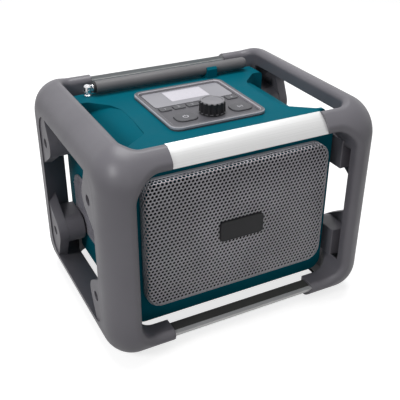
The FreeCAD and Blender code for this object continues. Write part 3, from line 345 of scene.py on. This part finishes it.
def polished(name, colour):
    """Chrome with faint haze and finger marks."""
    shader = Shader(name)
    haze = shader.noise(CHROME_HAZE, 4.0)
    shader.colour(shader.blend(shader.spread(haze, *WIDE, 0.0, 0.25), colour, (0.5, 0.5, 0.52, 1.0)))
    shader.rough(shader.spread(haze, 0.4, 0.7, 0.06, 0.16))
    shader.relief(haze, *HAZE_RELIEF, CHROME_SOFT)
    shader.set(Metallic=1.0)
    return shader.material


def woven(name, base, light):
    """Black speaker cloth."""
    shader = Shader(name)
    threads = []
    for axis in ("X", "Z"):
        wave = shader.add("ShaderNodeTexWave", wave_type="BANDS", bands_direction=axis)
        wave.inputs["Scale"].default_value = THREAD_SCALE
        shader.join(shader.place, wave.inputs["Vector"])
        threads.append(wave.outputs["Fac"])
    mesh = shader.product(*threads)
    shader.colour(shader.blend(mesh, base, light))
    shader.relief(mesh, *THREAD_RELIEF)
    shader.set(Roughness=0.95)
    return shader.material


def liquid_crystal(name):
    """Pale display with a faint cell grid and a slow, slightly darker haze."""
    shader = Shader(name)
    cell = shader.add("ShaderNodeTexBrick", offset=0.0, squash=1.0)
    cell.inputs["Scale"].default_value = 1.0
    cell.inputs["Mortar Size"].default_value = CELL_GAP
    cell.inputs["Brick Width"].default_value = CELL_WIDE
    cell.inputs["Row Height"].default_value = CELL_HIGH
    cell.inputs["Color1"].default_value = srgb(206, 202, 212)
    cell.inputs["Color2"].default_value = srgb(200, 197, 207)
    cell.inputs["Mortar"].default_value = srgb(190, 187, 198)
    shader.join(shader.place, cell.inputs["Vector"])
    haze = shader.noise(DISPLAY_HAZE)
    shader.colour(shader.blend(shader.spread(haze, *WIDE, 0.0, 0.3), cell.outputs["Color"],
                               srgb(184, 181, 192)))
    shader.rough(shader.spread(haze, *WIDE, 0.12, 0.2))
    shader.set(Coat_Weight=0.6, Coat_Roughness=0.05)
    return shader.material


# Each moulded look paints a highlight along its edges, as strong as the share given for it.
CAGE = moulded("cage_plastic", srgb(98, 96, 102), srgb(106, 104, 110), 0.36, 0.46, edge_highlight=0.2, specular=0.5)
BAR_CORE = moulded("bar_plastic", srgb(62, 62, 61), srgb(70, 70, 68), 0.5, 0.62)
TEAL = moulded("teal_plastic", srgb(2, 88, 104), srgb(3, 95, 111), 0.45, 0.55, edge_highlight=0.12, specular=0.03)
TEAL_DOOR = moulded("teal_door", srgb(2, 86, 102), srgb(3, 93, 109), 0.45, 0.55, edge_highlight=0.12, specular=0.03)
RUBBER = moulded("foot_rubber", srgb(30, 30, 31), srgb(38, 38, 39), 0.75, 0.9, grain=900.0)
ROD_RUBBER = moulded("aerial_rubber", srgb(100, 99, 101), srgb(110, 109, 111), 0.42, 0.55, grain=1100.0)
PANEL = moulded("panel_plastic", srgb(78, 77, 82), srgb(86, 85, 90), 0.36, 0.46, edge_highlight=0.3, soft=0.0006)
# Painted highlight: the rim's pale colour on its flanks and edges is a painted bright line of light; its
# flat top takes the crown, the rim's own dark grey.
RIM = moulded("rim_plastic", srgb(168, 166, 172), srgb(176, 174, 180), 0.3, 0.4, edge_highlight=0.6, soft=0.0,
              crown=srgb(92, 91, 96), level=(0.9, 0.99))
BUTTON = moulded("button_plastic", srgb(74, 74, 78), srgb(82, 82, 86), 0.38, 0.5, edge_highlight=0.9, soft=0.0005)
WINDOW = moulded("window_plastic", srgb(140, 139, 146), srgb(150, 149, 156), 0.12, 0.2, depth=0.00001,
                 edge_highlight=0.2)
# Painted highlight: the knob's light grey top stands for light on its glossy black top, and its edges
# carry a strong painted edge highlight.
KNOB = moulded("knob_plastic", srgb(26, 26, 29), srgb(32, 32, 35), 0.24, 0.34, edge_highlight=1.0, soft=0.0005,
               specular=0.5, rim=0.0012, crown=srgb(118, 117, 123))
BLACK = moulded("black_plastic", srgb(28, 28, 30), srgb(34, 34, 36), 0.5, 0.65)
BOARD = moulded("board_green", srgb(14, 70, 38), srgb(20, 84, 46), 0.3, 0.4)
CONE = moulded("cone_paper", srgb(40, 40, 42), srgb(50, 50, 52), 0.8, 0.9, grain=500.0)
MAGNET = moulded("magnet_ceramic", srgb(58, 58, 60), srgb(66, 66, 68), 0.6, 0.75)
MARK = moulded("mark_paint", srgb(188, 187, 193), srgb(198, 197, 203), 0.5, 0.6, edge_highlight=0.0)
BADGE = moulded("badge_plastic", srgb(30, 30, 33), srgb(33, 33, 36), 0.3, 0.34, depth=0.00001, edge_highlight=0.9)
COVER = brushed("satin_aluminium", (0.70, 0.70, 0.70, 1.0), 0, 0.34, 0.5, metal=0.5)
STEEL = brushed("steel", (0.55, 0.55, 0.56, 1.0), 2)
GRILLE = coated("grille_metal", srgb(176, 174, 180), 0.42, 0.5)
BASKET = coated("black_metal", srgb(36, 36, 38), 0.5, 0.3)
SIDE_PLATE = coated("side_plate", srgb(170, 168, 178), 0.45, 0.3)
CHROME = polished("chrome", (0.85, 0.85, 0.87, 1.0))
CLOTH = woven("cloth", srgb(16, 16, 18), srgb(34, 34, 37))
LCD = liquid_crystal("lcd_glass")

BY_SLOT = {
    "cage_plastic": CAGE, "bar_plastic": BAR_CORE, "satin_aluminium": COVER, "steel": STEEL,
    "chrome": CHROME, "foot_rubber": RUBBER, "teal_plastic": TEAL, "grille_metal": GRILLE,
    "cloth": CLOTH, "badge_metal": BADGE, "black_metal": BASKET, "surround_rubber": RUBBER,
    "cone_paper": CONE, "magnet": MAGNET, "side_plate": SIDE_PLATE, "panel_plastic": PANEL,
    "window_plastic": WINDOW, "lcd_glass": LCD, "button_plastic": BUTTON, "knob_plastic": KNOB,
    "board": BOARD, "black_plastic": BLACK, "aerial_rubber": ROD_RUBBER,
}
BY_NODE = {"battery_door": TEAL_DOOR, "panel_rim": RIM}
SLOT_OF = {item["node"]: item["material_slot"] for item in frame["record"]["subparts"]}


def dress_nodes():
    """Each node takes its own material if it has one, and else its slot's."""
    for name, item in NODES.items():
        material = BY_NODE.get(name, BY_SLOT[SLOT_OF[name]])
        item.data.materials.clear()
        item.data.materials.append(material)


# Building pieces

def new_piece(name, mesh, material, body, smooth=True):
    """Adds a mesh as a piece of the radio that moves with a body."""
    item = bpy.data.objects.new(name, mesh)
    bpy.context.scene.collection.objects.link(item)
    mesh.materials.append(material)
    if smooth:
        for face in mesh.polygons:
            face.use_smooth = True
    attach(item, body)
    return item


def finished(bm, name):
    """Turns what was built up point by point into a mesh."""
    mesh = bpy.data.meshes.new(name)
    bm.to_mesh(mesh)
    bm.free()
    return mesh


def weld(bm):
    """Joins points that meet and takes out slivers."""
    bmesh.ops.remove_doubles(bm, verts=bm.verts, dist=WELD)
    bmesh.ops.dissolve_degenerate(bm, edges=bm.edges, dist=SLIVER)


def thicken(item):
    """Gives a sheet its thickness, inwards from its face."""
    thick = item.modifiers.new("sheet", "SOLIDIFY")
    thick.thickness = SHEET_THICK
    thick.offset = -1.0


# Perforated sheets

def cell_sheet(half_u, half_v, pierced):
    """A flat sheet of six-sided cells, each with a round hole unless pierced(u, v) says no."""
    bm = bmesh.new()
    row_step = HOLE_PITCH * sqrt(3) / 2
    rows = int(half_v / row_step) + 1
    columns = int(half_u / HOLE_PITCH) + 1
    for row in range(-rows, rows + 1):
        shift = HOLE_PITCH / 2 if row % 2 else 0.0
        for column in range(-columns, columns + 1):
            u = column * HOLE_PITCH + shift
            v = row * row_step
            if abs(u) > half_u + HOLE_PITCH or abs(v) > half_v + HOLE_PITCH:
                continue
            rim = []
            ring = []
            for side in range(HOLE_SIDES):
                angle = 2 * pi * side / HOLE_SIDES + pi / 6
                reach = HOLE_PITCH / 2 / cos(pi / 6) if side % 2 == 0 else HOLE_PITCH / 2
                rim.append(bm.verts.new((u + reach * cos(angle), 0, v + reach * sin(angle))))
                ring.append(bm.verts.new((u + HOLE_RADIUS * cos(angle), 0, v + HOLE_RADIUS * sin(angle))))
            for side in range(HOLE_SIDES):
                after = (side + 1) % HOLE_SIDES
                bm.faces.new((rim[side], rim[after], ring[after], ring[side]))
            if not pierced(u, v):
                bm.faces.new(ring)
    bmesh.ops.remove_doubles(bm, verts=bm.verts, dist=CELL_WELD)
    return bm


def outward(u, v, half_u, half_v, corner):
    """Distance outside a rounded rectangle, the nearest point on it and the outward direction."""
    du = abs(u) - (half_u - corner)
    dv = abs(v) - (half_v - corner)
    sign_u = 1.0 if u >= 0 else -1.0
    sign_v = 1.0 if v >= 0 else -1.0
    if du > 0 and dv > 0:
        length = hypot(du, dv)
        normal = (du / length * sign_u, dv / length * sign_v)
        distance = length - corner
    elif du > dv:
        normal = (sign_u, 0.0)
        distance = du - corner
    else:
        normal = (0.0, sign_v)
        distance = dv - corner
    return distance, normal


def speaker_grille():
    """Pressed tray of perforated sheet: the pattern runs over the edge and down the flanks."""
    half_u = GRILLE_HALF
    half_v = (GRILLE_HIGH - GRILLE_LOW) / 2
    middle_v = (GRILLE_HIGH + GRILLE_LOW) / 2
    flat_u = half_u - GRILLE_EDGE
    flat_v = half_v - GRILLE_EDGE
    flat_corner = GRILLE_CORNER - GRILLE_EDGE
    bend = GRILLE_EDGE * pi / 2
    flank = (GRILLE_SEAT - GRILLE_FACE) - GRILLE_EDGE
    limit = bend + flank
    plain_from = limit - PLAIN_EDGE

    def reach(u, v):
        return outward(u, v, flat_u, flat_v, flat_corner)[0]

    bm = cell_sheet(flat_u + limit, flat_v + limit, lambda u, v: reach(u, v) < plain_from)
    for face in list(bm.faces):
        if all(reach(vert.co.x, vert.co.z) > limit for vert in face.verts):
            bm.faces.remove(face)
    for vert in bm.verts:
        u, v = vert.co.x, vert.co.z
        distance, normal = outward(u, v, flat_u, flat_v, flat_corner)
        if distance <= 0:
            vert.co = (u, GRILLE_FACE, v + middle_v)
            continue
        foot_u = u - normal[0] * distance
        foot_v = v - normal[1] * distance
        distance = min(distance, limit)
        if distance < bend:
            turn = distance / GRILLE_EDGE
            out = GRILLE_EDGE * sin(turn)
            back = GRILLE_EDGE * (1 - cos(turn))
        else:
            out = GRILLE_EDGE
            back = GRILLE_EDGE + distance - bend
        vert.co = (foot_u + normal[0] * out, GRILLE_FACE + back, foot_v + normal[1] * out + middle_v)
    loose = [vert for vert in bm.verts if not vert.link_faces]
    bmesh.ops.delete(bm, geom=loose, context="VERTS")
    weld(bm)
    bmesh.ops.recalc_face_normals(bm, faces=bm.faces)
    mesh = finished(bm, "grille_sheet")
    item = new_piece("grille_sheet", mesh, GRILLE, "radio")
    thicken(item)
    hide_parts("speaker_grille")


def side_grille(name, side):
    """Flat perforated plate on the radio's flank, cut round the cage's lower rear lug."""
    size = (SIDE_HALF_Y, SIDE_HALF_Z, SIDE_CORNER)
    bm = cell_sheet(SIDE_HALF_Y, SIDE_HALF_Z, lambda u, v: outward(u, v, *size)[0] < -SIDE_MARGIN)
    for vert in bm.verts:
        distance, normal = outward(vert.co.x, vert.co.z, *size)
        if distance > 0:
            vert.co.x -= normal[0] * distance
            vert.co.z -= normal[1] * distance
    weld(bm)
    plane = side * (FLANK + SIDE_LIFT + SHEET_THICK)
    for vert in bm.verts:
        vert.co = (plane, SIDE_MIDDLE_Y + vert.co.x, SIDE_MIDDLE_Z + vert.co.z)
    boss_y, boss_z = LUG_DEPTH, CAGE_MIDDLE - LUG_HEIGHT
    covered = [face for face in bm.faces
               if any(hypot(vert.co.y - boss_y, vert.co.z - boss_z) < BOSS_REACH for vert in face.verts)]
    bmesh.ops.delete(bm, geom=covered, context="FACES")
    face_outward(bm, side)
    mesh = finished(bm, "side_sheet_" + name)
    item = new_piece("side_sheet_" + name, mesh, SIDE_PLATE, "radio", smooth=False)
    thicken(item)
    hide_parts("side_grille_" + name)


def face_outward(bm, side):
    """Turns the faces so that most of them look away from the radio's middle."""
    bmesh.ops.recalc_face_normals(bm, faces=bm.faces)
    if sum(face.normal.x for face in bm.faces) * side < 0:
        bmesh.ops.reverse_faces(bm, faces=bm.faces)


def rounded_outline(half_u, half_v, corner):
    """Points of a rounded rectangle about its own middle."""
    points = []
    for sign_u, sign_v, start in ((1, 1, 0.0), (-1, 1, 0.5), (-1, -1, 1.0), (1, -1, 1.5)):
        for step in range(CORNER_STEPS + 1):
            angle = pi * (start + 0.5 * step / CORNER_STEPS)
            points.append((sign_u * (half_u - corner) + corner * cos(angle),
                           sign_v * (half_v - corner) + corner * sin(angle)))
    return points


def plate_mesh(name, outlines, near, far):
    """Flat plates between two planes across X, one for each outline of (Y, Z) points."""
    bm = bmesh.new()
    for outline in outlines:
        low = [bm.verts.new((near, y, z)) for y, z in outline]
        high = [bm.verts.new((far, y, z)) for y, z in outline]
        bm.faces.new(low)
        bm.faces.new(list(reversed(high)))
        for here in range(len(outline)):
            after = (here + 1) % len(outline)
            bm.faces.new((low[here], high[here], high[after], low[after]))
    bmesh.ops.recalc_face_normals(bm, faces=bm.faces)
    return finished(bm, name)


def side_backing(name, side):
    """Dark cloth between the flank and its perforated plate."""
    size = [value - BACKING_INSET for value in (SIDE_HALF_Y, SIDE_HALF_Z, SIDE_CORNER)]
    outline = [(SIDE_MIDDLE_Y + u, SIDE_MIDDLE_Z + v) for u, v in rounded_outline(*size)]
    mesh = plate_mesh("side_backing_" + name, [outline], side * FLANK, side * (FLANK + SIDE_LIFT))
    new_piece("side_backing_" + name, mesh, CLOTH, "radio", smooth=False)


# Lug blocks

def lug_outline():
    """One of the four lugs on a side: a block with a round nose that runs level into the post."""
    points = [(LUG_REACH, LUG_HEIGHT - LUG_ROUND)]
    for step in range(LUG_STEPS + 1):
        angle = pi * (1.5 - step / LUG_STEPS)
        points.append((LUG_DEPTH + LUG_ROUND * cos(angle), LUG_HEIGHT + LUG_ROUND * sin(angle)))
    points.append((LUG_REACH, LUG_HEIGHT + LUG_ROUND))
    return points


def lug_blocks(name, side):
    """The thick inner part of the four lugs, from their plates to just short of the radio's flank."""
    outlines = []
    for sign_y in (-1, 1):
        for sign_z in (-1, 1):
            outlines.append([(sign_y * y, CAGE_MIDDLE + sign_z * z) for y, z in lug_outline()])
    mesh = plate_mesh("lug_blocks_" + name, outlines, side * LUG_INNER, side * LUG_BACK)
    item = new_piece("lug_blocks_" + name, mesh, CAGE, "radio", smooth=False)
    soft = item.modifiers.new("edges", "BEVEL")
    soft.width = LUG_SOFT
    soft.segments = 2
    soft.limit_method = "ANGLE"


# Rear bar trim

def rear_bar_trim():
    """Thin aluminium strip over the bare front flat of the top rear bar."""
    core_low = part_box("bar_core_top_rear")[0]
    cover_low, cover_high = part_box("bar_cover_top_rear")
    back = core_low.y
    front = back - TRIM_THICK
    outline = [(front, core_low.z), (back, core_low.z), (back, TRIM_HIGH), (front, TRIM_HIGH)]
    mesh = plate_mesh("rear_bar_trim", [outline], cover_low.x, cover_high.x)
    new_piece("rear_bar_trim", mesh, COVER, "radio", smooth=False)


# Key marks

def stroke_mesh(name, strokes, width, height):
    """Raised bars on a key, each stroke a run of (X, Y) points, about the mesh's own middle."""
    bm = bmesh.new()
    for stroke in strokes:
        left, right = [], []
        for here, point in enumerate(stroke):
            before = Vector(stroke[max(here - 1, 0)])
            after = Vector(stroke[min(here + 1, len(stroke) - 1)])
            along = (after - before).normalized()
            aside = Vector((-along.y, along.x)) * width / 2
            for row, sign in ((left, 1), (right, -1)):
                spot = Vector(point) + sign * aside
                row.append((bm.verts.new((spot.x, spot.y, 0.0)), bm.verts.new((spot.x, spot.y, height))))
        for here in range(len(stroke) - 1):
            (a_low, a_high), (b_low, b_high) = left[here], left[here + 1]
            (c_low, c_high), (d_low, d_high) = right[here], right[here + 1]
            bm.faces.new((a_high, b_high, d_high, c_high))
            bm.faces.new((a_low, c_low, d_low, b_low))
            bm.faces.new((a_low, b_low, b_high, a_high))
            bm.faces.new((c_low, c_high, d_high, d_low))
        for row in (0, -1):
            bm.faces.new((left[row][0], left[row][1], right[row][1], right[row][0]))
    bmesh.ops.recalc_face_normals(bm, faces=bm.faces)
    return finished(bm, name)


DIGIT_STROKES = {
    1: [[(-0.4, 0.6), (0.1, 1.0), (0.1, -1.0)]],
    2: [[(-0.5, 0.7), (-0.1, 1.0), (0.4, 0.8), (0.4, 0.3), (-0.5, -1.0), (0.6, -1.0)]],
    3: [[(-0.5, 0.8), (0.0, 1.0), (0.5, 0.6), (0.0, 0.1), (0.5, -0.5), (0.0, -1.0), (-0.5, -0.8)]],
    4: [[(0.2, -1.0), (0.2, 1.0), (-0.6, -0.4), (0.6, -0.4)]],
    5: [[(0.5, 1.0), (-0.4, 1.0), (-0.5, 0.1), (0.1, 0.3), (0.5, -0.3), (0.1, -1.0), (-0.5, -0.8)]],
    6: [[(0.4, 0.9), (-0.2, 0.7), (-0.5, -0.4), (0.0, -1.0), (0.5, -0.5), (0.0, 0.0), (-0.45, -0.3)]],
}


def power_sign():
    """An open ring with a bar in its gap."""
    ring = []
    for step in range(RING_STEPS + 1):
        angle = radians(RING_START + RING_SWEEP * step / RING_STEPS)
        ring.append((RING_ROUND * cos(angle), RING_ROUND * sin(angle)))
    return [ring, [(0.0, 1.1), (0.0, 0.1)]]


def play_sign():
    """A triangle and a bar."""
    return [[(-0.9, -0.8), (-0.9, 0.8), (0.2, 0.0), (-0.9, -0.8)], [(0.8, -0.8), (0.8, 0.8)]]


def place_mark(node, strokes, size):
    """Puts a mark in the middle of a key's top, riding with the key's body, which has its name."""
    low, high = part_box(node)
    scaled = [[(x * size, y * size) for x, y in stroke] for stroke in strokes]
    mesh = stroke_mesh("mark_" + node, scaled, size * MARK_STROKE, MARK_HEIGHT)
    shift = Vector(((low.x + high.x) / 2, (low.y + high.y) / 2, high.z))
    mesh.transform(Matrix.Translation(shift))
    new_piece("mark_" + node, mesh, MARK, node, smooth=False)


def key_marks():
    for number, strokes in DIGIT_STROKES.items():
        place_mark("button_%d" % number, strokes, DIGIT_SIZE)
    place_mark("key_left", power_sign(), POWER_SIZE)
    place_mark("key_right", play_sign(), PLAY_SIZE)


# Camera, light and floor

def camera():
    """Looks along +Y, then turned by yaw to the right, by pitch downwards and by roll."""
    yaw, pitch, roll = radians(CAMERA_YAW), radians(CAMERA_PITCH), radians(CAMERA_ROLL)
    forward = Vector((sin(yaw) * cos(pitch), cos(yaw) * cos(pitch), -sin(pitch)))
    level = Vector((cos(yaw), -sin(yaw), 0.0))
    upward = level.cross(forward)
    right = level * cos(roll) - upward * sin(roll)
    upward = right.cross(forward)
    data = bpy.data.cameras.new("camera")
    data.sensor_width = SENSOR
    data.lens = CAMERA_LENS
    data.clip_start = CLIP_NEAR
    data.clip_end = CLIP_FAR
    item = bpy.data.objects.new("camera", data)
    turn = Matrix((right, upward, -forward)).transposed()
    item.matrix_world = Matrix.Translation(CAMERA_PLACE) @ turn.to_4x4()
    bpy.context.scene.collection.objects.link(item)
    bpy.context.scene.camera = item


def area_light(name, place, target, size, power):
    data = bpy.data.lights.new(name, "AREA")
    data.shape = "RECTANGLE"
    data.size, data.size_y = size
    data.energy = power
    item = bpy.data.objects.new(name, data)
    direction = Vector(target) - Vector(place)
    item.rotation_mode = "QUATERNION"
    item.rotation_quaternion = direction.to_track_quat("-Z", "Y")
    item.location = place
    bpy.context.scene.collection.objects.link(item)


def shows_background(tree):
    """1 for rays that reach the camera straight, by a reflection or through glass; 0 for the rest."""
    path = tree.nodes.new("ShaderNodeLightPath")
    total = path.outputs["Is Camera Ray"]
    for kind in ("Is Glossy Ray", "Is Transmission Ray"):
        node = tree.nodes.new("ShaderNodeMath")
        node.operation = "ADD"
        node.use_clamp = True
        tree.links.new(total, node.inputs[0])
        tree.links.new(path.outputs[kind], node.inputs[1])
        total = node.outputs[0]
    return total


def studio():
    scene = bpy.context.scene
    scene.view_settings.view_transform = "Standard"
    world = bpy.data.worlds.new("studio")
    world.use_nodes = True
    tree = world.node_tree
    tree.nodes.clear()
    output = tree.nodes.new("ShaderNodeOutputWorld")
    mix = tree.nodes.new("ShaderNodeMixShader")
    seen = tree.nodes.new("ShaderNodeBackground")
    lit = tree.nodes.new("ShaderNodeBackground")
    seen.inputs["Color"].default_value = grey(1.0)
    lit.inputs["Color"].default_value = grey(1.0)
    lit.inputs["Strength"].default_value = WORLD_LIGHT
    tree.links.new(shows_background(tree), mix.inputs[0])
    tree.links.new(lit.outputs[0], mix.inputs[1])
    tree.links.new(seen.outputs[0], mix.inputs[2])
    tree.links.new(mix.outputs[0], output.inputs["Surface"])
    scene.world = world
    for name, settings in LAMPS.items():
        area_light(name, *settings)


def floor():
    """Pale ground that the camera and reflections see lighter than the lamps make it."""
    bm = bmesh.new()
    bmesh.ops.create_grid(bm, x_segments=FLOOR_CELLS, y_segments=FLOOR_CELLS, size=FLOOR_HALF)
    mesh = finished(bm, "studio_floor")
    shader = Shader("studio_floor")
    cloud = shader.noise(FLOOR_CLOUD, 2.0)
    shader.colour(shader.blend(shader.spread(cloud, *WIDE, 0.0, 1.0), grey(FLOOR_DARK), grey(FLOOR_LIGHT)))
    shader.set(Roughness=0.9, Specular_IOR_Level=0.0)
    glow = shader.add("ShaderNodeEmission")
    seen = shader.add("ShaderNodeLightPath").outputs["Is Camera Ray"]
    mirrored = shader.spread(shows_background(shader.tree), 0.0, 1.0, 0.0, FLOOR_MIRRORED)
    straight = shader.spread(seen, 0.0, 1.0, 0.0, FLOOR_STRAIGHT)
    lift = shader.add("ShaderNodeMath", operation="ADD")
    shader.join(mirrored, lift.inputs[0])
    shader.join(straight, lift.inputs[1])
    shader.join(lift.outputs[0], glow.inputs["Strength"])
    both = shader.add("ShaderNodeAddShader")
    shader.join(shader.surface.outputs["BSDF"], both.inputs[0])
    shader.join(glow.outputs[0], both.inputs[1])
    shader.join(both.outputs[0], shader.output.inputs["Surface"])
    item = bpy.data.objects.new("studio_floor", mesh)
    mesh.materials.append(shader.material)
    item.location.z = -FLOOR_DROP
    bpy.context.scene.collection.objects.link(item)


camera()
studio()
floor()
dress_nodes()
speaker_grille()
for side_name, side_sign in (("left", -1), ("right", 1)):
    side_grille(side_name, side_sign)
    side_backing(side_name, side_sign)
    lug_blocks(side_name, side_sign)
rear_bar_trim()
key_marks()
